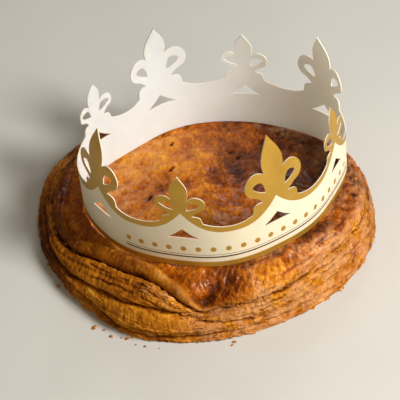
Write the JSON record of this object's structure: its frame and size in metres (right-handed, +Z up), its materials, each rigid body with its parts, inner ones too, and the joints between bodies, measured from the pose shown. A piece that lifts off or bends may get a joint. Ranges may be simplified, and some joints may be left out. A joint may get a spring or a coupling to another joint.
{
  "type": "galette des rois with a paper crown",
  "caption": "Round puff-pastry king cake, uncut, with a rolled and layered rim, and a paper crown lying on its glazed lid.",
  "frame": {"origin": "middle of the part's bounding box in plan, at the level of the surface the cake stands on", "axes": "+Z up from the flat underside; -Y is the side seen in the picture, +X its right"},
  "size_m": [0.2674, 0.2612, 0.1463],
  "materials": {
    "pastry": "baked puff pastry, egg-glazed, golden brown",
    "card": "thin card, cream print with gold borders outside, plain white inside"
  },
  "bodies": {
    "root": {"galette": "pastry", "crown": "card"}
  },
  "joints": []
}
